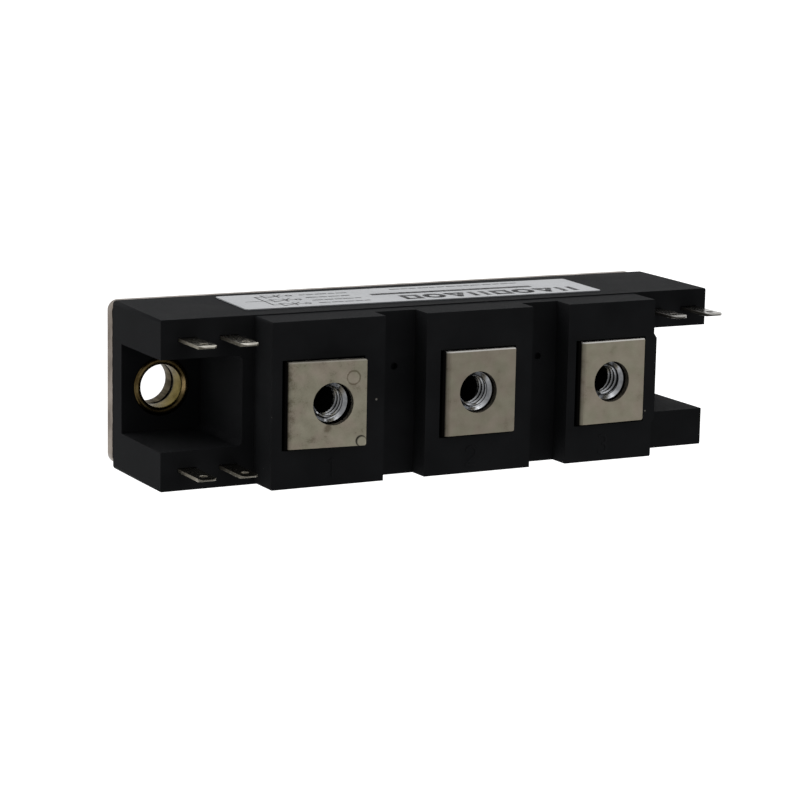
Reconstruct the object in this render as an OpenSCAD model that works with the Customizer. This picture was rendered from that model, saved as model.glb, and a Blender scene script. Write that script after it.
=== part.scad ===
// Thyristor module with three bolted terminals on a common anode base.
// The base plate lies on z = 0, the long side runs along x and the terminals point up.
// Sizes are in millimetres and heights count from the mounting face.

/* [Housing] */
// Overall length of the housing
body_l = 92.8; // [84:0.1:104]
// Width of the housing at its foot
body_w = 25.6; // [23:0.1:32]
// Draft of the long sides, in degrees
draft = 0.8; // [0:0.1:1]
// Height of the end arms
shoulder_z = 21.6; // [20.5:0.1:22.5]
// Height of the valleys between the towers
valley_z = 24; // [22.8:0.1:25.5]
// Height of the terminal towers
tower_z = 27.7; // [27:0.1:31]
// Distance that the towers stand back from the long sides
tower_setback = 0.15; // [0.05:0.05:0.5]
// Wall of the long sides, the ends and the notches
wall = 1.6; // [1:0.1:1.8]
// Roof of the cavity under the arms
roof = 2.1; // [1.5:0.1:3]
// Radius of the upright outer corners
corner_r = 0.6; // [0.2:0.1:1.5]
// Ledge between the left notch and the first tower
tower_ledge = 1.9; // [0.6:0.1:2.6]
// Wall between each valley and the pocket to its left
valley_wall_left = [3.25, 2.85]; // [1:0.05:4]
// Wall between each valley and the pocket to its right
valley_wall_right = [2.4, 1.45]; // [1:0.05:4]
// Added thickness of the last tower's outer wall behind the right notch
boss_t = 0.5; // [0.2:0.1:0.9]
// Reach of that thickened wall past each side of the notch
boss_lap = 0.25; // [0.1:0.05:1]
// Corner cut of that thickened wall
boss_cut = 0.7; // [0.2:0.1:1.2]
// Diameter of the closed filling hole in each valley
fill_d = 1.1; // [0.6:0.1:2]
// Depth of the closed filling hole
fill_depth = 0.8; // [0.3:0.1:1.5]
// Distance of the filling holes from the middle line
fill_y = 4; // [0:0.1:9]

/* [Base plate and mounting holes] */
// Thickness of the base plate
plate_t = 3; // [2:0.1:4]
// Overhang of the housing beyond the plate on every side
plate_inset = 0.3; // [0.1:0.05:0.8]
// Corner radius of the plate
plate_r = 1.6; // [0.3:0.1:3]
// Distance from a mounting hole to the housing's end
hole_end = 6.4; // [5.6:0.1:7.2]
// Diameter of the mounting holes
hole_d = 6.5; // [5.5:0.1:7]
// Outer diameter of the bushes
bush_d = 9; // [8.2:0.1:11]
// Height of a bush above the notch floor
bush_proud = 0.15; // [0.05:0.05:0.5]
// Edge cut at both ends of a bush's bore and at its rim
bush_edge = 0.35; // [0.1:0.05:0.5]
// Width of the arms beside the end notches
arm_w = 6.05; // [5.6:0.05:6.5]
// Distance from a mounting hole to the back wall of its notch
notch_back = 6.4; // [6:0.1:6.8]
// Thickness of the notch floor
notch_floor = 3.4; // [2:0.1:5]
// Radius of the upright corners in a notch
notch_r = 1; // [0.3:0.1:2]

/* [Terminals] */
// Distance from the left notch's back wall to the first terminal
terminal_first = 11.4; // [10.6:0.1:12.6]
// Offset of the middle terminal from half way between the other two
middle_shift = 0.4; // [-0.6:0.1:0.6]
// Room between the last terminal's lower buffer and the end wall of the cavity
stack_room = 0.4; // [0.1:0.1:1]
// Thickness of a terminal strap
strap_t = 1; // [0.8:0.1:1.2]
// Width of a terminal strap
strap_w = 12.8; // [11:0.1:14]
// Distance from each bolt hole to the strap's fold
strap_fold = [7.6, 6, 6]; // [5.7:0.1:8]
// Distance from each bolt hole to the strap's free end
strap_reach = [5.2, 6.3, 5.9]; // [5:0.1:6.4]
// Lift of each folded end above level, in degrees
lid_lift = [5, 0, -1.5]; // [-3:0.5:8]
// Height of a strap's fold above the tower
lid_proud = 0.5; // [0.2:0.1:1.2]
// Bolt hole in the folded end
lid_hole_d = 6.3; // [5.3:0.1:7]
// Corner radius of the folded end
lid_r = 0.3; // [0.2:0.1:2]
// Inner radius of the strap's bends
bend_r = 0.3; // [0.2:0.1:0.8]
// Depth of the pocket under the folded end
pocket_depth = 1.5; // [1.4:0.1:2]
// Room round the folded end in its pocket
pocket_gap = 0.25; // [0.15:0.05:0.6]
// Room round the strap in its slot
slot_gap = 0.12; // [0.05:0.01:0.2]
// Nut size across flats
nut_flats = 8; // [7:0.1:8.2]
// Nut height
nut_h = 4; // [3:0.1:4.5]
// Gap between a nut and the lowest point of the strap over it
nut_under = 0.1; // [0.05:0.05:0.8]
// Bore of the nut at the thread's crests
nut_bore_d = 4.2; // [3.3:0.1:4.6]
// Lead-in cut of the nut's bore
nut_lead_in = 0.8; // [0.2:0.1:0.9]
// Room round the nut in its well
nut_gap = 0.1; // [0.05:0.01:0.2]
// Wall round the nut well under the roof
block_wall = 1.2; // [0.8:0.1:1.6]
// Diameter of the well for the bolt's tip
tip_well_d = 5.6; // [5.2:0.1:6.4]
// Depth of that well under the nut
tip_well_depth = 5; // [3:0.1:6]

/* [Tabs] */
// Width of a push-on tab
tab_w = 2.8; // [2.4:0.1:3.2]
// Thickness of a tab
tab_t = 0.5; // [0.4:0.05:0.8]
// Length of a tab above the arm
tab_len = 7.9; // [6:0.1:9]
// Distance between the tabs of a pair
tab_pitch = 6.5; // [5:0.1:7]
// Distance from the housing's left end to the middle of its two tab pairs
tab_left = 7.4; // [6.4:0.1:7.9]
// Distance from the housing's right end to the middle of its tab pair
tab_right = 6.4; // [6.4:0.1:7.9]
// Distance of the tabs from the foot of the long side
tab_side = 3.25; // [2.6:0.05:3.7]
// Corner cut of a tab's tip
tab_cut = 0.6; // [0.2:0.1:1]
// Bevel of a tab's tip, across its thickness
tab_bevel = 0.15; // [0.05:0.05:0.2]
// Length of that bevel
tab_bevel_len = 0.8; // [0.3:0.1:1.5]
// Diameter of the hole in a tab
tab_hole_d = 1.2; // [0.8:0.1:1.6]
// Distance of that hole from the tip
tab_hole_drop = 2; // [1.4:0.1:3]
// Length of a tab below the roof
tab_root = 2; // [1:0.1:3]
// Room round a tab in its slot
tab_gap = 0.06; // [0.02:0.01:0.15]

/* [Chips, leads and potting] */
// Side of the lower molybdenum buffer
anode_side = 12.4; // [11.4:0.1:14]
// Thickness of the lower buffer
anode_t = 1; // [0.5:0.1:1.5]
// Side of a thyristor chip
chip_side = 11; // [10.6:0.1:11.4]
// Thickness of a chip
chip_t = 0.4; // [0.2:0.05:0.6]
// Side of the upper molybdenum buffer
cathode_side = 8.2; // [7.6:0.1:8.6]
// Thickness of the upper buffer
cathode_t = 0.8; // [0.5:0.1:1.2]
// Corner cut of the upper buffer, which leaves the gate free
gate_cut = 2.5; // [2:0.1:3]
// Distance of the gate from the chip's middle, both ways
gate_offset = 4.3; // [4.2:0.1:4.6]
// Width of a strap's foot
foot_w = 7.2; // [6:0.1:7.4]
// Height of the narrow part of a strap above the foot
foot_neck = 3; // [2:0.1:5]
// Diameter of a sleeved lead
lead_d = 1.2; // [0.8:0.1:1.4]
// Bend radius of a lead at its middle
lead_bend = 1.2; // [0.8:0.1:1.5]
// Reach of a lead's straight runs into its bends
lead_lap = 0.05; // [0.02:0.01:0.08]
// Thinning of those runs on each side, which keeps them inside the bends
lead_neck = 0.01; // [0.005:0.005:0.02]
// Height of the gate leads' long run
gate_lane_z = 8.5; // [8:0.1:9.5]
// Height of the cathode leads' long run
cathode_lane_z = 11; // [10.5:0.1:12]
// Room round a lead in the potting
lead_gap = 0.05; // [0.02:0.01:0.1]
// Height of the gel's surface
gel_z = 13; // [12.6:0.1:14]

/* [Label] */
// Length of the sticker
label_l = 60; // [40:0.1:61]
// Height of the sticker
label_h = 12.1; // [8:0.1:13.8]
// Thickness of the sticker
label_t = 0.15; // [0.1:0.05:0.2]
// Corner radius of the sticker
label_r = 0.5; // [0.3:0.1:3]
// Middle of the sticker along the housing
label_x = -1.2; // [-3:0.1:3]
// Height of the sticker's middle above the housing's foot
label_up = 9.3; // [8:0.1:10]
// Turn of the sticker on the side that lifts its right end, in degrees
label_turn = 1.2; // [-2:0.1:2]
// Thickness of the glue under the sticker
label_glue = 0.02; // [0.01:0.01:0.1]

/* [Hidden] */
$fn = 48;
hex_sides = 6;
bend_steps = 8;
overcut = 1;
corner_bulge = 1.02;

mould_black = [0.09, 0.09, 0.095];
nickel = [0.66, 0.64, 0.59];
brass = [0.72, 0.56, 0.27];
zinc = [0.78, 0.80, 0.82];
molybdenum = [0.48, 0.49, 0.52];
silicon = [0.25, 0.26, 0.32];
sleeve_white = [0.85, 0.83, 0.78];
sleeve_red = [0.62, 0.16, 0.12];
gel_clear = [0.80, 0.82, 0.78];
epoxy_dark = [0.16, 0.14, 0.13];
paper_white = [0.93, 0.93, 0.92];

last_terminal = 2;
TERMINALS = [0 : last_terminal];
VALLEYS = [0 : last_terminal - 1];
ENDS = [-1, 1];
quarter_turn = 90;
hole_x = body_l / 2 - hole_end;
notch_w = body_w - 2 * arm_w;
notch_x = hole_x - notch_back;
notch_z = plate_t + notch_floor;
cavity_x = notch_x - wall;
cavity_y = half_w(shoulder_z) - wall;
cavity_z = shoulder_z - roof;
arm_y = notch_w / 2 + wall;
pocket_z = tower_z - pocket_depth;
nut_corners = across_corners(nut_flats);
nut_well = across_corners(nut_flats + 2 * nut_gap);
tower_left = tower_ledge - notch_x;
tower_right = notch_x - boss_t;
tower_foot_z = shoulder_z - roof / 2;
boss_w = notch_w + 2 * boss_lap;
terminal_left = terminal_first - notch_x;
terminal_right = cavity_x - stack_room - anode_side / 2;
terminal_pitch = (terminal_right - terminal_left) / last_terminal;
TERMINAL_SHIFT = [0, middle_shift, 0];
chip_z = plate_t + anode_t;
cathode_z = chip_z + chip_t;
foot_z = cathode_z + cathode_t;
foot_end = cathode_side / 2 - bend_r;
bend_outer = bend_r + strap_t;
lid_bend_z = tower_z + lid_proud - bend_outer;
tab_foot_z = cavity_z - tab_root;
tab_tip_z = shoulder_z + tab_len;
tab_y = body_w / 2 - tab_side;

// Each terminal's own tabs: the end of the housing, the long side, and the pair's distance from that end
TAB_END = [-1, -1, 1];
TAB_SIDE = [1, -1, 1];
TAB_PAIR = [tab_left, tab_left, tab_right];

function across_corners(flats) = flats / cos(180 / hex_sides);
function half_w(z) = body_w / 2 - (z - plate_t) * tan(draft);
function terminal(i) = terminal_left + i * terminal_pitch + TERMINAL_SHIFT[i];
function pocket_left(i) = terminal(i) - strap_fold[i] - pocket_gap;
function pocket_right(i) = terminal(i) + strap_reach[i] + pocket_gap;
function valley_left(i) = pocket_right(i) + valley_wall_left[i];
function valley_right(i) = pocket_left(i + 1) - valley_wall_right[i];
function lid_dip(i) = min(0, (strap_fold[i] + strap_reach[i]) * tan(lid_lift[i]));
function nut_z(i) = tower_z + lid_proud - strap_t + lid_dip(i) - nut_under - nut_h;
function block_z(i) = nut_z(i) - tip_well_depth - block_wall;
function tab_x(i, shift) = TAB_END[i] * (body_l / 2 - TAB_PAIR[i] + shift);
function gate_tab_x(i) = tab_x(i, tab_pitch / 2);
function cathode_tab_x(i) = tab_x(i, -tab_pitch / 2);

// Flat outline with round corners, centred
module round_plan(l, w, r) {
    square([l - 2 * r, w], center = true);
    square([l, w - 2 * r], center = true);
    for (x = ENDS, y = ENDS)
        translate([x * (l / 2 - r), y * (w / 2 - r)])
            circle(r);
}

// Block between two heights whose long sides follow the draft, set back by inset
module drafted(x0, x1, z0, z1, inset) {
    low = half_w(z0) - inset;
    high = half_w(z1) - inset;
    translate([x0, 0, 0])
        rotate([90, 0, 90])
            linear_extrude(x1 - x0)
                polygon([[-low, z0], [low, z0], [high, z1], [-high, z1]]);
}

module base_plate() {
    color(nickel)
        difference() {
            linear_extrude(plate_t)
                round_plan(body_l - 2 * plate_inset, body_w - 2 * plate_inset, plate_r);
            for (end = ENDS)
                translate([end * hole_x, 0, -overcut])
                    cylinder(d = hole_d, h = plate_t + 2 * overcut);
        }
}

// Lower body up to the arms, with round upright corners
module body_block() {
    intersection() {
        drafted(-body_l / 2, body_l / 2, plate_t, shoulder_z, 0);
        translate([0, 0, plate_t])
            linear_extrude(shoulder_z - plate_t)
                round_plan(body_l, body_w, corner_r);
    }
}

// Three towers and the thickened wall on the last one, before the valleys are cut
module tower_block() {
    intersection() {
        drafted(tower_left, tower_right, tower_foot_z, tower_z, tower_setback);
        translate([(tower_left + tower_right) / 2, 0, tower_foot_z])
            linear_extrude(tower_z - tower_foot_z)
                round_plan(tower_right - tower_left, 2 * half_w(shoulder_z), corner_r);
    }
    translate([0, 0, tower_foot_z])
        linear_extrude(tower_z - tower_foot_z)
            polygon([
                [tower_right - wall, -boss_w / 2], [tower_right, -boss_w / 2],
                [notch_x, boss_cut - boss_w / 2], [notch_x, boss_w / 2 - boss_cut],
                [tower_right, boss_w / 2], [tower_right - wall, boss_w / 2]
            ]);
}

// U notch round a mounting hole, open to the end of the housing
module notch(end) {
    reach = body_l / 2 - notch_x + overcut;
    translate([end * (notch_x + reach / 2), 0, notch_z])
        linear_extrude(tower_z)
            union() {
                round_plan(reach, notch_w, notch_r);
                translate([end * notch_r, 0])
                    square([reach - 2 * notch_r, notch_w], center = true);
            }
    translate([end * hole_x, 0, plate_t - overcut])
        cylinder(d = bush_d, h = notch_floor + 2 * overcut);
}

// Room inside the housing between two heights, which runs past the notches into the arms
module cavity(z0, z1) {
    translate([0, 0, z0])
        linear_extrude(z1 - z0)
            difference() {
                square([body_l - 2 * wall, 2 * cavity_y], center = true);
                for (end = ENDS)
                    translate([end * body_l / 2, 0])
                        square([body_l - 2 * cavity_x, 2 * arm_y], center = true);
            }
}

// Solid block under a tower that holds the nut
module nut_block(i) {
    left = strap_fold[i] - strap_t - slot_gap;
    right = nut_flats / 2 + nut_gap + block_wall;
    side = nut_well / 2 + block_wall;
    translate([terminal(i) - left, -side, block_z(i)])
        cube([left + right, 2 * side, cavity_z - block_z(i) + overcut]);
}

// Pocket, strap slot, nut well and tip well of one terminal
module terminal_cut(i) {
    x = terminal(i);
    pocket_w = strap_w + 2 * pocket_gap;
    slot_w = strap_w + 2 * slot_gap;
    translate([pocket_left(i), -pocket_w / 2, pocket_z])
        cube([pocket_right(i) - pocket_left(i), pocket_w, pocket_depth + overcut]);
    translate([x - strap_fold[i] - slot_gap, -slot_w / 2, cavity_z - overcut])
        cube([strap_t + 2 * slot_gap, slot_w, pocket_z - cavity_z + 2 * overcut]);
    translate([x, 0, nut_z(i)])
        rotate(180 / hex_sides)
            cylinder(d = nut_well, h = nut_h + overcut, $fn = hex_sides);
    translate([x, 0, nut_z(i) - tip_well_depth])
        cylinder(d = tip_well_d, h = tip_well_depth + overcut);
}

module housing() {
    color(mould_black)
        difference() {
            union() {
                body_block();
                tower_block();
            }
            for (i = VALLEYS) {
                translate([valley_left(i), -body_w / 2, valley_z])
                    cube([valley_right(i) - valley_left(i), body_w, tower_z]);
                translate([(valley_left(i) + valley_right(i)) / 2, fill_y, valley_z - fill_depth])
                    cylinder(d = fill_d, h = fill_depth + overcut);
            }
            difference() {
                cavity(plate_t - overcut, cavity_z);
                for (i = TERMINALS)
                    nut_block(i);
            }
            for (end = ENDS)
                notch(end);
            for (i = TERMINALS) {
                terminal_cut(i);
                for (x = [gate_tab_x(i), cathode_tab_x(i)])
                    translate([x, TAB_SIDE[i] * tab_y, cavity_z + roof / 2])
                        cube([tab_w + 2 * tab_gap, tab_t + 2 * tab_gap, roof + 2 * overcut], center = true);
            }
        }
}

// Turned bush, with its edges cut at rim and bore
module bush(end) {
    inner = hole_d / 2;
    outer = bush_d / 2;
    top = notch_z + bush_proud;
    color(brass)
        translate([end * hole_x, 0, 0])
            rotate_extrude()
                polygon([
                    [inner, plate_t], [outer, plate_t],
                    [outer, top - bush_edge], [outer - bush_edge, top],
                    [inner + bush_edge, top], [inner, top - bush_edge]
                ]);
}

// Points of an arc in the plane of the long side, from one direction to another
function arc(x, z, r, from, to) = [
    for (k = [0 : bend_steps])
        let (a = from + (to - from) * k / bend_steps)
            [x + r * cos(a), z + r * sin(a)]
];

// Outline in the plane of the long side, drawn out across the housing
module strap_part(points, width) {
    translate([0, width / 2, 0])
        rotate([90, 0, 0])
            linear_extrude(width)
                polygon(points);
}

// Round cut of one free corner of a strap's folded end, at the local origin
// The round bulges a little past the faces, so that it meets them at a clear angle
module corner_cut(side) {
    translate([-lid_r, -side * lid_r, -strap_t])
        difference() {
            translate([0, side > 0 ? 0 : -lid_r - overcut, 0])
                cube([lid_r + overcut, lid_r + overcut, 3 * strap_t]);
            translate([0, 0, -overcut])
                cylinder(r = lid_r * corner_bulge, h = 3 * strap_t + 2 * overcut);
        }
}

// Strap in one piece: a foot on the chip's buffer, a leg through the slot, and an end folded over the nut
module terminal_strap(i) {
    leg_x = terminal(i) - strap_fold[i];
    bend_x = leg_x + bend_outer;
    foot_bend_z = foot_z + bend_outer;
    neck_z = foot_bend_z + foot_neck;
    lift = lid_lift[i];
    hole = strap_fold[i] - bend_outer;
    lid_l = hole + strap_reach[i];
    along = [cos(lift), sin(lift)];
    up = [-sin(lift), cos(lift)];
    lid_end = [bend_x, lid_bend_z] + lid_l * along;
    color(nickel) {
        strap_part(concat(
            [[leg_x + strap_t, neck_z], [leg_x, neck_z]],
            arc(bend_x, foot_bend_z, bend_outer, 2 * quarter_turn, 3 * quarter_turn),
            [[terminal(i) + foot_end, foot_z], [terminal(i) + foot_end, foot_z + strap_t]],
            arc(bend_x, foot_bend_z, bend_r, 3 * quarter_turn, 2 * quarter_turn)
        ), foot_w);
        difference() {
            strap_part(concat(
                [[leg_x + strap_t, neck_z], [leg_x, neck_z]],
                arc(bend_x, lid_bend_z, bend_outer, 2 * quarter_turn, quarter_turn + lift),
                [lid_end + bend_outer * up, lid_end + bend_r * up],
                arc(bend_x, lid_bend_z, bend_r, quarter_turn + lift, 2 * quarter_turn)
            ), strap_w);
            translate([bend_x, 0, lid_bend_z])
                rotate([0, -lift, 0]) {
                    translate([hole, 0, 0])
                        cylinder(d = lid_hole_d, h = bend_outer + overcut);
                    for (side = ENDS)
                        translate([lid_l, side * strap_w / 2, bend_r])
                            corner_cut(side);
                }
        }
    }
}

module terminal_nut(i) {
    lead_in_r = nut_bore_d / 2 + nut_lead_in;
    color(zinc)
        translate([terminal(i), 0, nut_z(i)])
            difference() {
                rotate(180 / hex_sides)
                    cylinder(d = nut_corners, h = nut_h, $fn = hex_sides);
                translate([0, 0, -overcut])
                    cylinder(d = nut_bore_d, h = nut_h + 2 * overcut);
                translate([0, 0, nut_h - nut_lead_in])
                    cylinder(r1 = nut_bore_d / 2, r2 = lead_in_r, h = nut_lead_in);
                translate([0, 0, nut_h])
                    cylinder(r = lead_in_r, h = overcut);
            }
}

// Push-on blade with cut corners, a bevelled tip and a hole
module tab(x, side) {
    flat = tab_w / 2;
    half = tab_t / 2;
    color(nickel)
        translate([x, side * tab_y, 0])
            difference() {
                intersection() {
                    translate([0, half, 0])
                        rotate([90, 0, 0])
                            linear_extrude(tab_t)
                                polygon([
                                    [-flat, tab_foot_z], [flat, tab_foot_z],
                                    [flat, tab_tip_z - tab_cut], [flat - tab_cut, tab_tip_z],
                                    [tab_cut - flat, tab_tip_z], [-flat, tab_tip_z - tab_cut]
                                ]);
                    translate([-flat, 0, 0])
                        rotate([90, 0, 90])
                            linear_extrude(tab_w)
                                polygon([
                                    [-half, tab_foot_z], [half, tab_foot_z],
                                    [half, tab_tip_z - tab_bevel_len], [half - tab_bevel, tab_tip_z],
                                    [tab_bevel - half, tab_tip_z], [-half, tab_tip_z - tab_bevel_len]
                                ]);
                }
                translate([0, tab_t, tab_tip_z - tab_hole_drop])
                    rotate([90, 0, 0])
                        cylinder(d = tab_hole_d, h = 2 * tab_t);
            }
}

module gate_tab(i) {
    tab(gate_tab_x(i), TAB_SIDE[i]);
}

module cathode_tab(i) {
    tab(cathode_tab_x(i), TAB_SIDE[i]);
}

// Square plate of a chip's stack
module stack_plate(i, side, z, t) {
    translate([terminal(i) - side / 2, -side / 2, z])
        cube([side, side, t]);
}

module anode_buffer(i) {
    color(molybdenum)
        stack_plate(i, anode_side, plate_t, anode_t);
}

module thyristor_chip(i) {
    color(silicon)
        stack_plate(i, chip_side, chip_z, chip_t);
}

module cathode_buffer(i) {
    half = cathode_side / 2;
    side = TAB_SIDE[i];
    color(molybdenum)
        translate([terminal(i), 0, cathode_z])
            linear_extrude(cathode_t)
                polygon([
                    [-half, -side * half], [half, -side * half], [half, side * (half - gate_cut)],
                    [half - gate_cut, side * half], [-half, side * half]
                ]);
}

// Turns local x, y, z onto three directions at a place
module set_frame(place, x, y, z) {
    multmatrix([
        [x[0], y[0], z[0], place[0]],
        [x[1], y[1], z[1], place[1]],
        [x[2], y[2], z[2], place[2]],
        [0, 0, 0, 1]
    ])
        children();
}

function unit(v) = v / norm(v);
function any_side(v) = abs(v[2]) > 0.5 ? [1, 0, 0] : [0, 0, 1];

// Round wire through points joined by straight runs at right angles, with an even bend at each turn
module wire(points, d) {
    last = len(points) - 1;
    for (k = [0 : last - 1]) {
        way = unit(points[k + 1] - points[k]);
        from = k == 0 ? 0 : lead_bend - lead_lap;
        to = k == last - 1 ? 0 : lead_bend - lead_lap;
        run = norm(points[k + 1] - points[k]) - from - to;
        cross_x = any_side(way);
        set_frame(points[k] + from * way, cross_x, cross(way, cross_x), way)
            cylinder(d = d - 2 * lead_neck, h = run);
    }
    for (k = [1 : last - 1]) {
        way_in = unit(points[k] - points[k - 1]);
        way_out = unit(points[k + 1] - points[k]);
        set_frame(points[k] + lead_bend * (way_out - way_in), -way_out, way_in, cross(-way_out, way_in))
            rotate_extrude(angle = 90)
                translate([lead_bend, 0])
                    circle(d = d);
    }
}

// Lead from a start point up to its lane, out to the tabs' line, along the housing and up to its tab
function lead_route(start, lane, x, side) = [
    start, [start[0], start[1], lane], [start[0], side * tab_y, lane],
    [x, side * tab_y, lane], [x, side * tab_y, tab_foot_z]
];

module gate_wire(i, d) {
    start = [terminal(i) + gate_offset, TAB_SIDE[i] * gate_offset, cathode_z];
    wire(lead_route(start, gate_lane_z, gate_tab_x(i), TAB_SIDE[i]), d);
}

module cathode_wire(i, d) {
    start = [terminal(i), TAB_SIDE[i] * foot_w / 4, foot_z + strap_t];
    wire(lead_route(start, cathode_lane_z, cathode_tab_x(i), TAB_SIDE[i]), d);
}

module gate_lead(i) {
    color(sleeve_white)
        gate_wire(i, lead_d);
}

module cathode_lead(i) {
    color(sleeve_red)
        cathode_wire(i, lead_d);
}

module lead_room(i) {
    gate_wire(i, lead_d + 2 * lead_gap);
    cathode_wire(i, lead_d + 2 * lead_gap);
}

module silicone_gel() {
    color(gel_clear)
        difference() {
            cavity(plate_t, gel_z);
            for (i = TERMINALS) {
                anode_buffer(i);
                thyristor_chip(i);
                cathode_buffer(i);
                terminal_strap(i);
                lead_room(i);
            }
        }
}

module epoxy_fill() {
    color(epoxy_dark)
        difference() {
            cavity(gel_z, cavity_z);
            for (i = TERMINALS) {
                nut_block(i);
                terminal_strap(i);
                lead_room(i);
                gate_tab(i);
                cathode_tab(i);
            }
        }
}

// Sticker on the long side, laid on the drafted face
module label() {
    color(paper_white)
        translate([label_x, half_w(plate_t), plate_t])
            rotate([quarter_turn - draft, 0, 2 * quarter_turn])
                translate([0, label_up, label_glue])
                    rotate(-label_turn)
                        linear_extrude(label_t)
                            round_plan(label_l, label_h, label_r);
}

base_plate();
housing();
bush(-1);  // left_bush
bush(1);  // right_bush
for (i = TERMINALS) {
    terminal_strap(i);
    terminal_nut(i);
    gate_tab(i);
    cathode_tab(i);
    anode_buffer(i);
    thyristor_chip(i);
    cathode_buffer(i);
    gate_lead(i);
    cathode_lead(i);
}
silicone_gel();
epoxy_fill();
label();
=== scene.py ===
"""Looks of the thyristor module: finishes, bushes, nuts, moulded numbers, label print, stage and light."""
import bpy
import numpy as np
from mathutils import Matrix, Vector


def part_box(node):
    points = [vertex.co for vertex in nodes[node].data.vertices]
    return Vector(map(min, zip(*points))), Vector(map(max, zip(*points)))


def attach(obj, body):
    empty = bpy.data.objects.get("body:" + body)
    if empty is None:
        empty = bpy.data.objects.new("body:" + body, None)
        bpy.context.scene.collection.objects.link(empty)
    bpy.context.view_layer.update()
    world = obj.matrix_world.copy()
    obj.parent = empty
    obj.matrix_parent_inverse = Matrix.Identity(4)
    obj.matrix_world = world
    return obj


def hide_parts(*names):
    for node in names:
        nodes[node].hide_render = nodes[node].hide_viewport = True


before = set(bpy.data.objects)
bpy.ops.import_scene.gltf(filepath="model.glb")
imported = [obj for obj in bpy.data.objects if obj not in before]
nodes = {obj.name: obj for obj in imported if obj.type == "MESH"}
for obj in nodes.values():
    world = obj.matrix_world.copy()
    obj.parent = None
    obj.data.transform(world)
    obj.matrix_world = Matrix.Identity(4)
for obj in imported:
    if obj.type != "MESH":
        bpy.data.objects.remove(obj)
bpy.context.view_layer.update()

# Base plate
# Rolled copper, punched with the two mounting holes and nickel plated all over.
# The chips are soldered to its top, the housing is glued on, and its underside sits on the heat sink.
# A black band with a wavy lower edge is painted along the top of its edges and, less deep, of its holes.
MM = 0.001


def finish(name, constants):
    """New node material: the constants go straight onto its shader's sockets. Returns the material and its tree."""
    material = bpy.data.materials.new(name)
    material.use_nodes = True
    shader = material.node_tree.nodes["Principled BSDF"]
    for socket, value in constants.items():
        shader.inputs[socket].default_value = value
    return material, material.node_tree


def add(tree, kind, inputs, **options):
    """Adds a node with these options. An input that is a socket is linked, and any other value is set."""
    made = tree.nodes.new("ShaderNode" + kind)
    for option, value in options.items():
        setattr(made, option, value)
    for key, value in inputs.items():
        if isinstance(value, bpy.types.NodeSocket):
            tree.links.new(value, made.inputs[key])
        else:
            made.inputs[key].default_value = value
    return made


def place(tree, stretch=(1, 1, 1), centre=(0, 0, 0)):
    """The object's own coordinates, moved so that centre is their origin and then stretched axis by axis."""
    own = add(tree, "TexCoord", {}).outputs["Object"]
    moved = add(tree, "VectorMath", {0: own, 1: centre}, operation="SUBTRACT").outputs[0]
    return add(tree, "VectorMath", {0: moved, 1: stretch}, operation="MULTIPLY").outputs[0]


def clouds(tree, size, detail=3.0, stretch=(1, 1, 1)):
    """Soft noise whose patches measure about size metres, from 0 to 1 round a middle of 0.5."""
    inputs = {"Vector": place(tree, stretch), "Scale": 1 / size, "Detail": detail, "Roughness": 0.55}
    return add(tree, "TexNoise", inputs).outputs["Fac"]


def spread(tree, value, low, high, to_low, to_high):
    """Straight line from low and high to two other values, held level outside them."""
    inputs = {"Value": value, "From Min": low, "From Max": high, "To Min": to_low, "To Max": to_high}
    return add(tree, "MapRange", inputs).outputs["Result"]


def tint(tree, value, stops):
    """Colour by value: each stop is a place from 0 to 1 and a colour."""
    ramp = add(tree, "ValToRGB", {"Fac": value})
    elements = ramp.color_ramp.elements
    for _ in stops[2:]:
        elements.new(0.5)
    for element, (at, colour) in zip(elements, stops):
        element.position = at
        element.color = (*colour, 1)
    return ramp.outputs["Color"]


def join(tree, operation, a, b):
    """One arithmetic step on two values."""
    return add(tree, "Math", {0: a, 1: b}, operation=operation).outputs[0]


def blend(tree, share, a, b):
    """Colour a where the share is 0 and colour b where it is 1."""
    return add(tree, "Mix", {"Factor": share, 6: a, 7: b}, data_type="RGBA").outputs[2]


def axis_distance(tree, centre):
    """Distance from an upright line through centre."""
    return add(tree, "VectorMath", {0: place(tree, (1, 1, 0), centre)}, operation="LENGTH").outputs["Value"]


def disc(tree, centre, radius, soft):
    """1 nearer to the upright line through centre than radius and 0 past it, with an edge that soft."""
    return spread(tree, axis_distance(tree, centre), radius - soft / 2, radius + soft / 2, 1.0, 0.0)


def dress(tree, colour=None, roughness=None, height=None, depth=0.0):
    """Links a colour, a roughness and a relief of that depth in metres to the tree's shader."""
    shader = tree.nodes["Principled BSDF"]
    if colour is not None:
        tree.links.new(colour, shader.inputs["Base Color"])
    if roughness is not None:
        tree.links.new(roughness, shader.inputs["Roughness"])
    if height is not None:
        bump = add(tree, "Bump", {"Height": height, "Distance": depth, "Strength": 1.0})
        tree.links.new(bump.outputs["Normal"], shader.inputs["Normal"])


def wear(material, *names):
    """Puts the finish on CAD nodes, which keep their own mesh."""
    for name in names:
        nodes[name].data.materials.clear()
        nodes[name].data.materials.append(material)


WELD_GAP = 0.001 * MM
FLAT_WITHIN = 0.5
ROUND_OVER = 30


def round_edges(names, width, segments):
    """Welds a CAD node's loose triangles, redraws its flat faces and rounds the edges over a sharp angle."""
    for name in names:
        weld = nodes[name].modifiers.new("weld", "WELD")
        weld.merge_threshold = WELD_GAP
        flat = nodes[name].modifiers.new("flat", "DECIMATE")
        flat.decimate_type = "DISSOLVE"
        flat.angle_limit = np.radians(FLAT_WITHIN)
        nodes[name].modifiers.new("redrawn", "TRIANGULATE")
        edge = nodes[name].modifiers.new("edge", "BEVEL")
        edge.width = width
        edge.segments = segments
        edge.limit_method = "ANGLE"
        edge.angle_limit = np.radians(ROUND_OVER)
        edge.harden_normals = True


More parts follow.
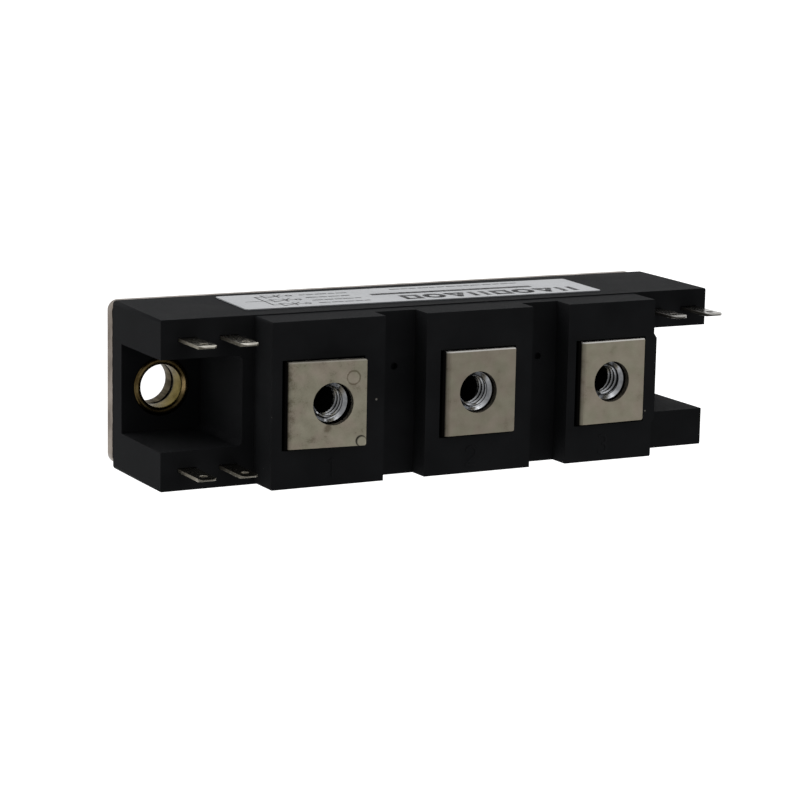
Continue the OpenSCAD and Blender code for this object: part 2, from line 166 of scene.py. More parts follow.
plate_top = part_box("base_plate")[1].z
hole_axes = [(low + high) / 2 for low, high in (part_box("left_bush"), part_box("right_bush"))]
DULL_EDGE = (0.6, 0.58, 0.54, 1)
PUNCHED_R = 3.45 * MM
BLACK_BAND_DEPTH = 1.05 * MM
BLACK_BAND_LESS_IN_HOLE = 0.35 * MM
BLACK_BAND_SOFT = 0.06 * MM
PLATE_EDGE = 0.35 * MM
plate_nickel, tree = finish("plate_nickel", {"Metallic": 1.0, "Specular IOR Level": 0.5})
mottle = clouds(tree, 4 * MM, 5.0)
rolling = clouds(tree, 0.25 * MM, 3.0, (0.05, 1, 1))
plain = tint(tree, mottle, [(0.3, (0.115, 0.09, 0.069)), (0.55, (0.158, 0.127, 0.1)), (0.75, (0.195, 0.16, 0.127))])
streaks = clouds(tree, 0.5 * MM, 3.0, (1, 1, 0.06))
punched = tint(tree, streaks, [(0.35, (0.016, 0.013, 0.009)), (0.65, (0.08, 0.068, 0.048))])
in_hole = join(tree, "MAXIMUM", *(disc(tree, (at.x, at.y, 0), PUNCHED_R, 0.2 * MM) for at in hole_axes))
# Black band painted along the top of the plate's edges and, less deep, at the top of its holes, with a wavy lower
# edge.
band_waver = spread(tree, clouds(tree, 1.5 * MM, 3.0), 0.3, 0.7, -0.12 * MM, 0.12 * MM)
level = join(tree, "ADD", add(tree, "SeparateXYZ", {0: place(tree)}).outputs["Z"], band_waver)
level = join(tree, "SUBTRACT", level, join(tree, "MULTIPLY", in_hole, BLACK_BAND_LESS_IN_HOLE))
black_band_edge = plate_top - BLACK_BAND_DEPTH
black_band = spread(tree, level, black_band_edge, black_band_edge + BLACK_BAND_SOFT, 0.0, 1.0)
grazing = blend(tree, black_band, blend(tree, in_hole, (1, 1, 1, 1), DULL_EDGE), (0, 0, 0, 1))
tree.links.new(grazing, tree.nodes["Principled BSDF"].inputs["Specular Tint"])
dress(
    tree,
    blend(tree, black_band, blend(tree, in_hole, plain, punched), (0.01, 0.01, 0.01, 1)),
    spread(tree, mottle, 0.3, 0.7, 0.5, 0.3),
    join(tree, "ADD", rolling, mottle),
    0.012 * MM,
)
wear(plate_nickel, "base_plate")
round_edges(["base_plate"], PLATE_EDGE, 3)


# Chip stacks
# Each terminal has a silicon chip between two molybdenum plates, which take up the heat's strain.
# The three are soldered to each other and to the base plate, under the potting.
GROUPS = (1, 2, 3)
molybdenum, tree = finish("molybdenum", {"Metallic": 1.0})
rolled = clouds(tree, 0.3 * MM, 4.0, (1, 0.06, 1))
dress(
    tree,
    tint(tree, rolled, [(0.3, (0.36, 0.36, 0.38)), (0.7, (0.52, 0.52, 0.55))]),
    spread(tree, rolled, 0.3, 0.7, 0.38, 0.52),
    rolled,
    0.006 * MM,
)
silicon, tree = finish("silicon", {"Metallic": 0.6})
haze = clouds(tree, 2 * MM, 2.0)
dress(
    tree,
    tint(tree, haze, [(0.3, (0.10, 0.11, 0.15)), (0.7, (0.20, 0.21, 0.27))]),
    spread(tree, haze, 0.3, 0.7, 0.12, 0.3),
)
for i in GROUPS:
    wear(molybdenum, f"anode_buffer_{i}", f"cathode_buffer_{i}")
    wear(silicon, f"thyristor_chip_{i}")


# Leads
# Stranded wire in a silicone sleeve, white from each gate and red from each strap's foot.
# They are soldered at both ends and run along the arms to the tabs.
def sleeve(name, dark, light):
    """Rubbery sleeve: a slow change of shade along it, a matt gloss and a faint cross ribbing."""
    material, tree = finish(name, {"Specular IOR Level": 0.4})
    shade = clouds(tree, 3 * MM)
    ribs = clouds(tree, 0.12 * MM, 2.0)
    dress(
        tree,
        tint(tree, shade, [(0.3, dark), (0.7, light)]),
        spread(tree, ribs, 0.3, 0.7, 0.45, 0.6),
        ribs,
        0.01 * MM,
    )
    return material


sleeve_white = sleeve("sleeve_white", (0.66, 0.64, 0.58), (0.78, 0.76, 0.71))
sleeve_red = sleeve("sleeve_red", (0.30, 0.03, 0.02), (0.42, 0.06, 0.04))
for i in GROUPS:
    wear(sleeve_white, f"gate_lead_{i}")
    wear(sleeve_red, f"cathode_lead_{i}")


# Potting
# Soft silicone gel poured over the chips, then dark filled epoxy up to the housing's roof.
# Both are cast in place through the filling holes in the valleys.
gel, tree = finish("gel", {"Transmission Weight": 0.6, "IOR": 1.41})
cloud = clouds(tree, 6 * MM, 2.0)
dress(
    tree,
    tint(tree, cloud, [(0.3, (0.76, 0.78, 0.74)), (0.7, (0.84, 0.86, 0.82))]),
    spread(tree, cloud, 0.3, 0.7, 0.1, 0.2),
)
wear(gel, "silicone_gel")
epoxy, tree = finish("epoxy", {"Specular IOR Level": 0.5})
filler = clouds(tree, 0.2 * MM, 3.0)
dress(
    tree,
    tint(tree, filler, [(0.3, (0.014, 0.012, 0.011)), (0.7, (0.03, 0.026, 0.024))]),
    spread(tree, filler, 0.3, 0.7, 0.25, 0.4),
    filler,
    0.005 * MM,
)
wear(epoxy, "epoxy_fill")


# Housing
# One moulding in black glass-filled plastic, glued to the base plate round its foot.
# Its skin has the mould's fine spark-eroded grain, slight flow shades and a few specks of pale dust.
HOUSING_EDGE = 0.22 * MM
SPECK_APART = 3.5 * MM
BIG_SPECKS = ((-14.83, 0.0, 0.16), (31.9, -5.06, 0.12))
mould_black, tree = finish("mould_black", {"Specular IOR Level": 0.006})
flow = clouds(tree, 9 * MM, 4.0)
skin = clouds(tree, 0.16 * MM, 2.0)
cells = add(tree, "TexVoronoi", {"Vector": place(tree), "Scale": 1 / SPECK_APART})
chance = add(tree, "SeparateColor", {"Color": cells.outputs["Color"]}).outputs[0]
speck_size = spread(tree, chance, 0.9, 1.0, 0.0, 0.03)
speck = join(tree, "LESS_THAN", cells.outputs["Distance"], speck_size)
for x, y, radius in BIG_SPECKS:
    speck = join(tree, "MAXIMUM", speck, disc(tree, (x * MM, y * MM, 0), radius * MM, 0.1 * MM))
plain = tint(tree, flow, [(0.3, (0.0112, 0.0116, 0.0124)), (0.7, (0.0168, 0.0173, 0.0185))])
dress(
    tree,
    blend(tree, speck, plain, (0.2, 0.19, 0.17, 1)),
    spread(tree, join(tree, "ADD", flow, skin), 0.7, 1.3, 0.5, 0.68),
    join(tree, "ADD", skin, join(tree, "MULTIPLY", flow, 0.6)),
    0.01 * MM,
)
wear(mould_black, "housing")
round_edges(["housing"], HOUSING_EDGE, 3)


# Moulded numbers
# Low raised numbers of the terminals, cut into the mould beside each strap.
# They are black like the housing and only show where the light grazes them.
def grid_faces(rows, columns, close_rows, close_columns):
    """Four corners of every cell in a grid of points, with a side that is closed running on into its start."""
    row = np.arange(rows if close_rows else rows - 1)[:, None]
    column = np.arange(columns if close_columns else columns - 1)[None, :]
    next_row = (row + 1) % rows * columns
    next_column = (column + 1) % columns
    row = row * columns
    return np.stack([row + column, row + next_column, next_row + next_column, next_row + column], -1).reshape(-1, 4)


def capped(rows, columns):
    """Faces of a tube of that many rings, with one face over each end."""
    start = np.arange(columns)
    stop = start + (rows - 1) * columns
    return grid_faces(rows, columns, False, True).tolist() + [start[::-1].tolist(), stop.tolist()]


def piece(name, points, faces, material, sharp=40):
    """Mesh of the points and faces, smooth but for edges over the sharp angle, riding on the part."""
    mesh = bpy.data.meshes.new(name)
    mesh.from_pydata(points.reshape(-1, 3).tolist(), [], [list(face) for face in faces])
    mesh.polygons.foreach_set("use_smooth", np.ones(len(faces), bool))
    mesh.set_sharp_from_angle(angle=np.radians(sharp))
    mesh.materials.append(material)
    made = bpy.data.objects.new(name, mesh)
    bpy.context.scene.collection.objects.link(made)
    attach(made, "root")
    return made


def arc(centre, radius, start, stop, count=14):
    """Points on a circle from one direction to another, in degrees."""
    turn = np.radians(np.linspace(start, stop, count))
    return np.stack([centre[0] + radius * np.cos(turn), centre[1] + radius * np.sin(turn)], -1)


def bead(path, width, height, sink):
    """Round bead along a flat path: half an ellipse across it, on a foot that sinks under the surface.
    Its ends draw in as a half circle does."""
    step = np.gradient(path, axis=0)
    along = step / np.linalg.norm(step, axis=1, keepdims=True)
    across = np.stack([-along[:, 1], along[:, 0]], -1)
    lengths = np.concatenate([[0], np.cumsum(np.linalg.norm(np.diff(path, axis=0), axis=1))])
    to_end = np.minimum(lengths, lengths[-1] - lengths)
    half = width / 2
    draw_in = np.sqrt(np.clip(1 - (1 - np.clip(to_end / half, 0.03, 1)) ** 2, 0, 1))
    turn = np.radians(np.linspace(0, 180, 9))
    side = np.concatenate([np.cos(turn), [-1, 1]]) * half
    lift = np.concatenate([np.sin(turn) * height, [-sink, -sink]])
    flat = path[:, None] + across[:, None] * (side[None] * draw_in[:, None])[..., None]
    rise = np.where(lift > 0, lift * draw_in[:, None], lift)
    return np.concatenate([flat, rise[..., None]], -1)


def resample(corners, step):
    """Points every step along a line through the corners."""
    corners = np.asarray(corners, float)
    lengths = np.concatenate([[0], np.cumsum(np.linalg.norm(np.diff(corners, axis=0), axis=1))])
    at = np.linspace(0, lengths[-1], int(lengths[-1] / step) + 2)
    return np.stack([np.interp(at, lengths, corners[:, 0]), np.interp(at, lengths, corners[:, 1])], -1)


STROKE_STEP = 0.1
NUMBER_LINE = 0.4
NUMBER_RISE = 0.09
NUMBER_SINK = 0.05
NUMBER_Y = -9.7
number_x = {1: -22.0, 2: 1.2, 3: 24.2}
strokes = {
    1: [(-0.55, 0.85), (0.1, 1.4), (0.1, -1.4)],
    2: np.concatenate([arc((0, 0.55), 0.85, 170, -40), [(-0.9, -1.4), (0.95, -1.4)]]),
    3: np.concatenate([arc((0, 0.68), 0.72, 150, -80), arc((0, -0.64), 0.8, 80, -150)]),
}
tower_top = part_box("housing")[1].z
for i in GROUPS:
    line = resample(strokes[i], STROKE_STEP) + (number_x[i], NUMBER_Y)
    number = bead(line * MM, NUMBER_LINE * MM, NUMBER_RISE * MM, NUMBER_SINK * MM) + (0, 0, tower_top)
    piece(f"number_{i}", number, capped(*number.shape[:2]), mould_black)


# Bushes
# Turned brass sleeves pressed into the notch floors, so that the bolts bear on metal.
# Their lips are rounded, and their bores show the fine rings that the turning tool left.
def corner_points(node):
    """A CAD node's own vertices as an array of points."""
    mesh = nodes[node].data
    points = np.empty(len(mesh.vertices) * 3)
    mesh.vertices.foreach_get("co", points)
    return points.reshape(-1, 3)


def fillet(corners, radii, steps=6):
    """Closed outline whose corners are arcs: each centre lies on its corner's bisector, and the arc swings
    from one touching point to the other."""
    corners = np.asarray(corners, float)
    radii = np.asarray(radii, float)[:, None]
    back = np.roll(corners, 1, 0) - corners
    ahead = np.roll(corners, -1, 0) - corners
    back = back / np.linalg.norm(back, axis=1, keepdims=True)
    ahead = ahead / np.linalg.norm(ahead, axis=1, keepdims=True)
    half = np.arccos(np.clip((back * ahead).sum(1, keepdims=True), -1, 1)) / 2
    centre = corners + (back + ahead) / np.linalg.norm(back + ahead, axis=1, keepdims=True) * radii / np.sin(half)
    start = corners + back * radii / np.tan(half) - centre
    stop = corners + ahead * radii / np.tan(half) - centre
    swing = (np.pi - 2 * half)[:, None]
    share = np.linspace(0, 1, steps)[None, :, None]
    swung = (np.sin((1 - share) * swing) * start[:, None] + np.sin(share * swing) * stop[:, None]) / np.sin(swing)
    return (centre[:, None] + swung).reshape(-1, 2)


def lathe(outline, centre, around=96):
    """Outline of radius and height carried once round an upright axis."""
    turn = np.linspace(0, 2 * np.pi, around, endpoint=False)[None]
    radius, height = outline[:, :1], outline[:, 1:]
    shape = [centre[0] + radius * np.cos(turn), centre[1] + radius * np.sin(turn), height + 0 * turn]
    return np.stack(shape, -1)


RING_PITCH = 0.14 * MM


def brass_finish(name, centre, bore, foot):
    """Turned brass: rings by the distance from the bush's axis, deep gold in the bore and painted shade in black at
    its foot.
    The lip is browned in patches and darker on one side as painted shade, with a painted highlight in bright amber
    at one place."""
    material, tree = finish(name, {"Metallic": 1.0, "Specular Tint": DULL_EDGE})
    stain = clouds(tree, 1.2 * MM, 4.0)
    away = axis_distance(tree, centre)
    upward = add(tree, "SeparateXYZ", {0: place(tree)}).outputs["Z"]
    rings = join(tree, "SINE", join(tree, "MULTIPLY", join(tree, "ADD", away, upward), 2 * np.pi / RING_PITCH), 0)
    inner = tint(tree, stain, [(0.3, (0.085, 0.065, 0.02)), (0.7, (0.15, 0.118, 0.042))])
    # Painted shade: the foot of the bore, where it meets the plate, is coloured black.
    bore_foot_painted_shade = spread(tree, upward, foot + 0.2 * MM, foot + 0.35 * MM, 1.0, 0.0)
    inner = blend(tree, bore_foot_painted_shade, inner, (0.008, 0.007, 0.005, 1))
    lip = tint(tree, stain, [(0.3, (0.11, 0.066, 0.022)), (0.7, (0.3, 0.22, 0.09))])
    sideways = add(tree, "SeparateXYZ", {0: place(tree, centre=centre)}).outputs["Y"]
    # Painted shade: the lip darkens towards one side.
    lip = blend(tree, spread(tree, sideways, -3.6 * MM, -1.0 * MM, 0.85, 0.0), lip, (0.02, 0.014, 0.006, 1))
    # Painted highlight: a bright amber spot on the lip.
    rubbed = disc(tree, (centre[0] + 3.6 * MM, centre[1], 0), 1.0 * MM, 1.0 * MM)
    lip = blend(tree, rubbed, lip, (0.95, 0.68, 0.32, 1))
    dress(
        tree,
        blend(tree, spread(tree, away, bore + 0.05 * MM, bore + 0.25 * MM, 0.0, 1.0), inner, lip),
        spread(tree, stain, 0.3, 0.7, 0.3, 0.18),
        rings,
        0.002 * MM,
    )
    return material


LIP = 0.55 * MM
FOOT_ROUND = 0.05 * MM
for side in ("left", "right"):
    node = f"{side}_bush"
    low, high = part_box(node)
    axis = (low + high) / 2
    bore = np.hypot(*(corner_points(node)[:, :2] - (axis.x, axis.y)).T).min()
    rim = (high.x - low.x) / 2
    outline = fillet(
        [(bore, low.z), (rim, low.z), (rim, high.z), (bore, high.z)],
        [FOOT_ROUND, FOOT_ROUND, LIP, LIP],
    )
    ring = lathe(outline, axis)
    made = piece(f"{side}_bush_turned", ring, grid_faces(*ring.shape[:2], True, True),
                 brass_finish(f"brass_{side}", (axis.x, axis.y, 0), bore, low.z), 60)
    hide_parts(node)


# Terminal nuts
# Zinc-plated hex nuts that drop into the wells under the straps and take the terminal screws.
# Their corners are cut back top and bottom, and the thread runs out in a lead-in cone.
THREAD_PITCH = 1.0 * MM
THREAD_DEPTH = 0.46 * MM
CREST_STEEP = 1.6
CREST_CUT = 0.3
FACE_RIM = 0.94
CORNER_SLOPE = np.tan(np.radians(60))


def hex_nut(centre, low, high, flats, bore, lead_in, around=120):
    """Ring of one closed outline carried round: up the six flats, in over the top, down the threaded bore.
    The flats' radius is half their width over the cosine of the angle from the nearest flat's middle, held
    inside a cone at both faces. The thread is a flattened triangle wave of height over pitch less the turn."""
    turn = np.linspace(0, 2 * np.pi, around, endpoint=False)[None]
    from_flat = (turn + np.pi / 6) % (np.pi / 3) - np.pi / 6
    face_rim = FACE_RIM * flats / 2
    up = low + (high - low) * (1 - np.cos(np.linspace(0, np.pi, 17)))[:, None] / 2
    from_face = np.minimum(up - low, high - up)
    outside = np.minimum(flats / 2 / np.cos(from_flat), face_rim + CORNER_SLOPE * from_face)
    mouth = bore + lead_in
    down = np.linspace(high, low, 120)[:, None]
    phase = (down / THREAD_PITCH - turn / (2 * np.pi)) % 1
    wave = np.clip(CREST_STEEP * np.abs(2 * phase - 1) - CREST_CUT, 0, 1)
    cone = mouth - np.minimum(high - down, down - low)
    inside = np.maximum(bore + THREAD_DEPTH * wave, cone + 0 * turn)
    inward = np.linspace(face_rim, mouth, 5)[1:-1, None] + 0 * turn
    radius = np.concatenate([outside, inward, inside, inward[::-1]])
    level = np.concatenate([up, 0 * inward[:, :1] + high, down, 0 * inward[:, :1] + low]) + 0 * turn
    return np.stack([centre.x + radius * np.cos(turn), centre.y + radius * np.sin(turn), level], -1)


def zinc_finish(name, centre, bore, mouth, top):
    """Bright zinc with a cloudy bloom and fine crystals, and painted shade in near black in the thread's roots under
    the lead-in cone and on the faces outside it."""
    material, tree = finish(name, {"Metallic": 1.0})
    bloom = clouds(tree, 0.7 * MM, 4.0)
    crystals = add(tree, "TexVoronoi", {"Vector": place(tree), "Scale": 1 / (0.22 * MM)}).outputs["Distance"]
    plain = tint(tree, bloom, [(0.3, (0.47, 0.485, 0.51)), (0.6, (0.67, 0.685, 0.71)), (0.8, (0.83, 0.845, 0.87))])
    away = axis_distance(tree, centre)
    # Painted shade: the faces outside the lead-in cone, and the thread's roots below it, are coloured near black.
    outside = spread(tree, away, mouth, mouth + 0.05 * MM, 0.0, 1.0)
    under_cone = join(tree, "LESS_THAN", add(tree, "SeparateXYZ", {0: place(tree)}).outputs["Z"], top - 0.5 * MM)
    thread_root_painted_shade = join(tree, "MULTIPLY", spread(tree, away, bore + 0.14 * MM, bore + 0.26 * MM, 0.0, 1.0), under_cone)
    dress(
        tree,
        blend(tree, join(tree, "MAXIMUM", outside, thread_root_painted_shade), plain, (0.015, 0.015, 0.017, 1)),
        spread(tree, bloom, 0.3, 0.7, 0.2, 0.1),
        crystals,
        0.001 * MM,
    )
    return material


for i in GROUPS:
    node = f"terminal_nut_{i}"
    low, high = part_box(node)
    axis = (low + high) / 2
    away = np.hypot(*(corner_points(node)[:, :2] - (axis.x, axis.y)).T)
    at_top = corner_points(node)[:, 2] > high.z - 1e-6
    bore = away.min()
    mouth = away[at_top].min()
    nut = hex_nut(axis, low.z, high.z, high.x - low.x, bore, mouth - bore)
    made = piece(f"terminal_nut_{i}_threaded", nut, grid_faces(*nut.shape[:2], True, True),
                 zinc_finish(f"zinc_{i}", (axis.x, axis.y, 0), bore, mouth, high.z), 25)
    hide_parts(node)


# Terminal straps
# Copper strip, punched, nickel plated and bent by hand over the nuts once these are in.
# The plating is warm grey and rubbed, with fine scratches and dull stains; the bends are painted black as shade and
# one long edge carries a painted highlight.
def strap_finish(name, fold_x, edge_y, shine, marked):
    """Rubbed nickel: grain along the strip, cloudy stains, fine dark pits, scuffs near the fold and painted shade,
    black, on the bend.
    A marked strap is more stained and has a pressed ring, a raised dot painted lighter as a highlight with a painted
    shadow on one side, and a smudge beside the bolt hole. A painted highlight runs along one long edge, weak on a
    marked strap. Shine scales the two tints."""
    material, tree = finish(name, {"Metallic": 1.0})
    stain = clouds(tree, 2.0 * MM, 5.0)
    grain = clouds(tree, 0.12 * MM, 3.0, (0.12, 1, 1))
    pits = clouds(tree, 0.18 * MM, 2.0)
    own = add(tree, "SeparateXYZ", {0: place(tree)}).outputs
    from_fold = join(tree, "SUBTRACT", own["X"], fold_x)
    reach, scuffed, stained, pitted = (2.6 * MM, 0.5, 0.29, 0.12) if marked else (1.6 * MM, 0.3, 0.2, 0.06)
    near_fold = spread(tree, from_fold, 0.3 * MM, reach, 1.0, 0.0)
    # Painted shade: the bend next to the fold is coloured near black.
    bend_painted_shade = spread(tree, from_fold, 0.5 * MM, 0.72 * MM, 1.0, 0.0)
    scuff = join(tree, "MULTIPLY", near_fold, clouds(tree, 0.3 * MM, 4.0, (0.3, 1, 1)))
    # Painted highlight: a pale line along the strip's long edge.
    edge_painted_highlight = spread(tree, own["Y"], edge_y - 0.24 * MM, edge_y - 0.16 * MM, 0.0, 1.0)
    patches = spread(tree, stain, 0.3, 0.7, 0.5 - stained, 0.5 + stained)
    tone = join(tree, "SUBTRACT", patches, join(tree, "MULTIPLY", scuff, scuffed))
    tone = join(tree, "ADD", tone, spread(tree, pits, 0.3, 0.7, -pitted, pitted))
    relief = join(tree, "ADD", grain, scuff)
    if marked:
        ring_out, ring_in = (disc(tree, RING_AT, radius, 0.12 * MM) for radius in RING_RADII)
        ring = join(tree, "SUBTRACT", ring_out, ring_in)
        # The raised dot is painted lighter as a highlight, and a painted shadow lies on one side of it.
        dot = disc(tree, DOT_AT, 0.7 * MM, 0.2 * MM)
        shade = join(tree, "SUBTRACT", disc(tree, DOT_SHADE_AT, 0.85 * MM, 0.15 * MM), dot)
        smudge = join(tree, "MULTIPLY", disc(tree, SMUDGE_AT, 0.5 * MM, 0.8 * MM), pits)
        dark = join(tree, "ADD", join(tree, "MULTIPLY", ring, 0.45), join(tree, "MULTIPLY", smudge, 1.5))
        tone = join(tree, "ADD", join(tree, "SUBTRACT", tone, dark), join(tree, "MULTIPLY", dot, 0.2))
        edge_painted_highlight = join(tree, "MULTIPLY", edge_painted_highlight, 0.3)
        bend_painted_shade = join(tree, "MAXIMUM", bend_painted_shade, join(tree, "MULTIPLY", shade, 0.9))
        relief = join(tree, "ADD", relief, join(tree, "SUBTRACT", join(tree, "MULTIPLY", dot, 3.0), ring))
    olive, rosy = (
        tint(tree, tone, [(at, np.multiply(shine, colour)) for at, colour in stops]) for stops in (OLIVE, ROSY)
    )
    plain = blend(tree, spread(tree, clouds(tree, 3.5 * MM, 2.0), 0.4, 0.6, 0.0, 1.0), olive, rosy)
    plain = blend(tree, edge_painted_highlight, plain, (0.95, 0.93, 0.88, 1))
    dress(
        tree,
        blend(tree, bend_painted_shade, plain, (0.006, 0.0055, 0.005, 1)),
        spread(tree, join(tree, "ADD", stain, grain), 0.7, 1.3, 0.34, 0.5),
        relief,
        0.012 * MM,
    )
    return material


STRAP_EDGE = 0.2 * MM
RING_AT = (-19.25 * MM, 3.76 * MM, 0)
RING_RADII = (1.12 * MM, 0.88 * MM)
DOT_AT = (-17.85 * MM, -5.77 * MM, 0)
DOT_SHADE_AT = (-17.98 * MM, -5.68 * MM, 0)
SMUDGE_AT = (-23.2 * MM, -3.59 * MM, 0)
OLIVE = [(0.1, (0.21, 0.19, 0.135)), (0.35, (0.355, 0.332, 0.25)), (0.75, (0.42, 0.396, 0.307))]
ROSY = [(0.1, (0.22, 0.183, 0.138)), (0.35, (0.377, 0.33, 0.262)), (0.75, (0.44, 0.39, 0.316))]
strap_shine = {1: 1.25, 2: 0.94, 3: 1.0}
for i in GROUPS:
    node = f"terminal_strap_{i}"
    low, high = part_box(node)
    wear(strap_finish(f"strap_nickel_{i}", low.x, high.y, strap_shine[i], i == 1), node)
    round_edges([node], STRAP_EDGE, 3)


# Push-on tabs
# Stamped strips of tinned brass with bevelled tips, soldered to the leads and held in the arms' slots.
# The tin is bright on its edges and dull grey and scratched lengthwise on its faces; the tabs at the right-hand end
# wear it painted darker as shade.
def tin_finish(name, dark, middle, light):
    """Scratched tin, cloudy between three shades, with torn and rougher metal on the sheared narrow sides."""
    material, tree = finish(name, {"Metallic": 1.0})
    dull = clouds(tree, 1.2 * MM, 4.0)
    scratch = clouds(tree, 0.1 * MM, 3.0, (1, 1, 0.08))
    across = add(tree, "SeparateXYZ", {0: add(tree, "TexCoord", {}).outputs["Normal"]}).outputs["X"]
    sheared = spread(tree, join(tree, "ABSOLUTE", across, 0), 0.6, 0.8, 0.0, 0.3)
    rubbed = spread(tree, join(tree, "ADD", dull, scratch), 0.7, 1.3, 0.3, 0.16)
    tone = join(tree, "SUBTRACT", dull, join(tree, "MULTIPLY", sheared, 0.7))
    dress(
        tree,
        tint(tree, tone, [(0.3, dark), (0.55, middle), (0.75, light)]),
        join(tree, "ADD", rubbed, sheared),
        scratch,
        0.006 * MM,
    )
    return material


TAB_EDGE = 0.06 * MM
tin_left = tin_finish("tin_left", (0.2, 0.185, 0.15), (0.36, 0.34, 0.29), (0.5, 0.48, 0.42))
# Same tin painted darker as shade, for the tabs at the right-hand end.
tin_right_painted_shade = tin_finish("tin_right_painted_shade", (0.094, 0.089, 0.079), (0.156, 0.148, 0.134), (0.231, 0.221, 0.2))
for i, tin in zip(GROUPS, (tin_left, tin_left, tin_right_painted_shade)):
    wear(tin, f"gate_tab_{i}", f"cathode_tab_{i}")
    round_edges([f"gate_tab_{i}", f"cathode_tab_{i}"], TAB_EDGE, 2)


# Label
# White coated paper stuck on one long side, a little askew.
# Its print is generic: the sign of a controlled rectifier for each terminal, and plain bars and rules.
paper, tree = finish("paper", {"Specular IOR Level": 0.35})
fibre = clouds(tree, 0.25 * MM, 4.0)
age = clouds(tree, 7 * MM, 3.0)
dress(
    tree,
    tint(tree, age, [(0.3, (0.345, 0.355, 0.37)), (0.7, (0.39, 0.4, 0.415))]),
    spread(tree, fibre, 0.3, 0.7, 0.4, 0.55),
    fibre,
    0.006 * MM,
)
wear(paper, "label")


def segments_to_quads(lines, width):
    """Flat strip of that width round each straight line, given as two ends."""
    lines = np.asarray(lines, float).reshape(-1, 2, 2)
    along = lines[:, 1] - lines[:, 0]
    along = along / np.linalg.norm(along, axis=1, keepdims=True)
    across = np.stack([-along[:, 1], along[:, 0]], -1)[:, None] * width / 2
    longer = along[:, None] * np.array([-1, 1])[None, :, None] * width / 2
    ends = lines + longer
    return np.concatenate([ends - across, (ends + across)[:, ::-1]], 1)


def chain(points):
    """Straight lines that join each point to the next."""
    points = np.asarray(points, float)
    return np.stack([points[:-1], points[1:]], 1)


RECTIFIER = np.concatenate([
    chain([(-1.2, 1.1), (-1.2, -1.1), (0.9, 0), (-1.2, 1.1)]),
    chain([(0.9, 1.1), (0.9, -1.1)]),
    chain([(0.9, 0), (2.0, -1.2)]),
    chain([(-2.6, 0), (-1.2, 0)]),
    chain([(0.9, 0), (2.6, 0)]),
    chain(arc((3.0, 0), 0.4, 0, 360, 13)),
])
label_points = corner_points("label")
label_middle = label_points.mean(0)
label_axes = np.linalg.svd(label_points - label_middle, full_matrices=False)[2]
label_axes = label_axes * np.sign([label_axes[0, 0], label_axes[1, 2], label_axes[2, 1]])[:, None]
label_long, label_up, label_out = label_axes
label_half = np.abs((label_points - label_middle) @ label_axes.T).max(0)
INK_T = 0.012 * MM
SYMBOL_X = -22.0
SYMBOL_APART = 3.6
RISER_X = -24.6
FEED_X = -27.5
THIN_LINE = 0.3
SMALL_LINE = 0.55
MIDDLE_LINE = 1.3
BOLD_LINE = 0.95
symbols = np.concatenate([RECTIFIER + (SYMBOL_X, dy) for dy in (-SYMBOL_APART, 0.0, SYMBOL_APART)])
riser = chain([(RISER_X, -SYMBOL_APART), (RISER_X, SYMBOL_APART)])
feed = chain([(FEED_X, 0.0), (RISER_X, 0.0)])
thin = segments_to_quads(np.concatenate([symbols, riser, feed]), THIN_LINE)


BARS_DRAWN = 60
BAR_SHORTEST = 0.4
BAR_GAP = 0.75


def bar_row(dice, start, stop, level, longest):
    """Row of plain bars of uneven length, each as a line's two ends. Each starts a gap after the one before,
    and those past the stop are left off."""
    lengths = dice.uniform(BAR_SHORTEST, longest, BARS_DRAWN)
    starts = start + np.concatenate([[0], np.cumsum(lengths[:-1] + BAR_GAP)])
    ends = np.stack([np.stack([starts, starts + lengths], -1), np.full((BARS_DRAWN, 2), level)], -1)
    return ends[ends[:, 1, 0] < stop]


dice = np.random.default_rng(5)
notes = np.concatenate([bar_row(dice, -17.0, -8.5, level, 1.6) for level in (3.7, 1.3, -1.2, -3.7)])
small = segments_to_quads(np.concatenate([notes, bar_row(dice, -1.5, 22.0, -4.4, 1.4)]), SMALL_LINE)
middle = segments_to_quads(bar_row(dice, -6.0, 21.5, -0.8, 1.6), MIDDLE_LINE)
SIGNS = [
    chain([(-1.1, -1.3), (-1.1, 1.3), (1.1, 1.3), (1.1, -1.3), (-1.1, -1.3)]),
    chain(arc((0, 0), 1.3, 0, 360, 21)),
    chain([(-1.2, -1.2), (1.2, -1.2), (0, 1.3), (-1.2, -1.2)]),
    np.concatenate([chain([(-1.0, -1.3), (-1.0, 1.3)]), chain([(1.0, -1.3), (1.0, 1.3)])]),
]
SIGN_START = -1.5
SIGN_APART = 3.85
SIGN_LEVEL = 3.0
bold_signs = [SIGNS[k % 4] + (SIGN_START + SIGN_APART * k, SIGN_LEVEL) for k in range(8)]
bold = segments_to_quads(np.concatenate(bold_signs), BOLD_LINE)
flat = np.concatenate([thin, small, middle, bold]).reshape(-1, 2) * MM
print_points = label_middle + flat[:, :1] * label_long + flat[:, 1:] * label_up + label_half[2] * label_out
print_faces = np.arange(len(print_points)).reshape(-1, 4)
ink, tree = finish("ink", {"Specular IOR Level": 0.3})
patchy = clouds(tree, 0.4 * MM, 4.0)
dress(
    tree,
    tint(tree, patchy, [(0.3, (0.012, 0.012, 0.014)), (0.75, (0.05, 0.05, 0.055))]),
    spread(tree, patchy, 0.3, 0.7, 0.4, 0.6),
)
label_print = piece("label_print", print_points, print_faces, ink)
thickness = label_print.modifiers.new("ink", "SOLIDIFY")
thickness.thickness = INK_T
thickness.offset = 1.0


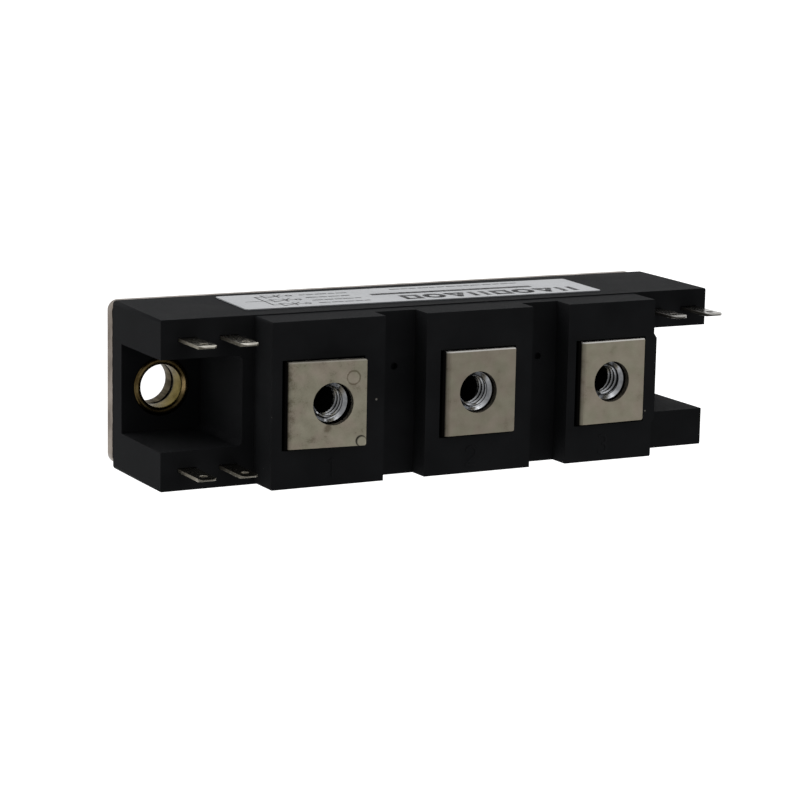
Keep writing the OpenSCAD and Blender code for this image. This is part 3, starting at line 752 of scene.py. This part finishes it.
# Stage and light
# A pale luminous table like a light box, a bright low surround that dims overhead and to the left,
# and two soft, weak lamps.
FLOOR_HALF = 2.5
LAMPS_FACE = Vector((0, 0, 0.012))
corners = np.array([(-1, -1, 0), (1, -1, 0), (1, 1, 0), (-1, 1, 0)]) * FLOOR_HALF
floor_mesh = bpy.data.meshes.new("floor")
floor_mesh.from_pydata(corners.tolist(), [], [(0, 1, 2, 3)])
floor_white, tree = finish("floor_white", {
    "Base Color": (0.3, 0.3, 0.3, 1), "Roughness": 0.9, "Specular IOR Level": 0.0,
    "Emission Color": (1, 1, 1, 1), "Emission Strength": 1.15,
})
floor_mesh.materials.append(floor_white)
floor = bpy.data.objects.new("floor", floor_mesh)
bpy.context.scene.collection.objects.link(floor)

world = bpy.data.worlds.new("surround")
bpy.context.scene.world = world
world.use_nodes = True
tree = world.node_tree
towards = add(tree, "SeparateXYZ", {0: add(tree, "TexCoord", {}).outputs["Generated"]})
glow = tint(tree, towards.outputs["Z"], [
    (0.0, (1.0, 1.0, 1.0)), (0.3, (0.9, 0.9, 0.9)), (0.55, (0.75, 0.75, 0.75)),
    (0.8, (0.42, 0.42, 0.42)), (1.0, (0.28, 0.28, 0.28)),
])
tree.links.new(glow, tree.nodes["Background"].inputs["Color"])
tree.links.new(spread(tree, towards.outputs["X"], -0.6, 0.0, 0.35, 1.0), tree.nodes["Background"].inputs["Strength"])


def lamp(name, at, size, power):
    """Square soft lamp that faces the part's middle."""
    light = bpy.data.lights.new(name, "AREA")
    light.shape = "SQUARE"
    light.size = size
    light.energy = power
    made = bpy.data.objects.new(name, light)
    made.location = at
    made.rotation_euler = (LAMPS_FACE - Vector(at)).to_track_quat("-Z", "Y").to_euler()
    bpy.context.scene.collection.objects.link(made)


lamp("lamp_label_side", (0.05, 0.75, 0.13), 0.25, 0.5)
lamp("lamp_left_end", (-0.75, 0.05, 0.12), 0.20, 0.08)
bpy.context.scene.view_settings.view_transform = "Standard"

# Camera
# It stands over the left end and looks down along the part, as the photograph does.
CAMERA_AT = Vector((-190.03, 72.64, 370.77)) * MM
CAMERA_BACK = Vector((-0.45477527, 0.18540059, 0.87109476))
CAMERA_UP = Vector((0.06872809, 0.98248105, -0.17322654))
CAMERA_LENS = 120.32
lens = bpy.data.cameras.new("camera")
lens.lens = CAMERA_LENS
lens.sensor_width = 36.0
lens.clip_start = 0.01
camera = bpy.data.objects.new("camera", lens)
right = CAMERA_UP.cross(CAMERA_BACK)
camera.matrix_world = Matrix.Translation(CAMERA_AT) @ Matrix((right, CAMERA_UP, CAMERA_BACK)).transposed().to_4x4()
bpy.context.scene.collection.objects.link(camera)
bpy.context.scene.camera = camera
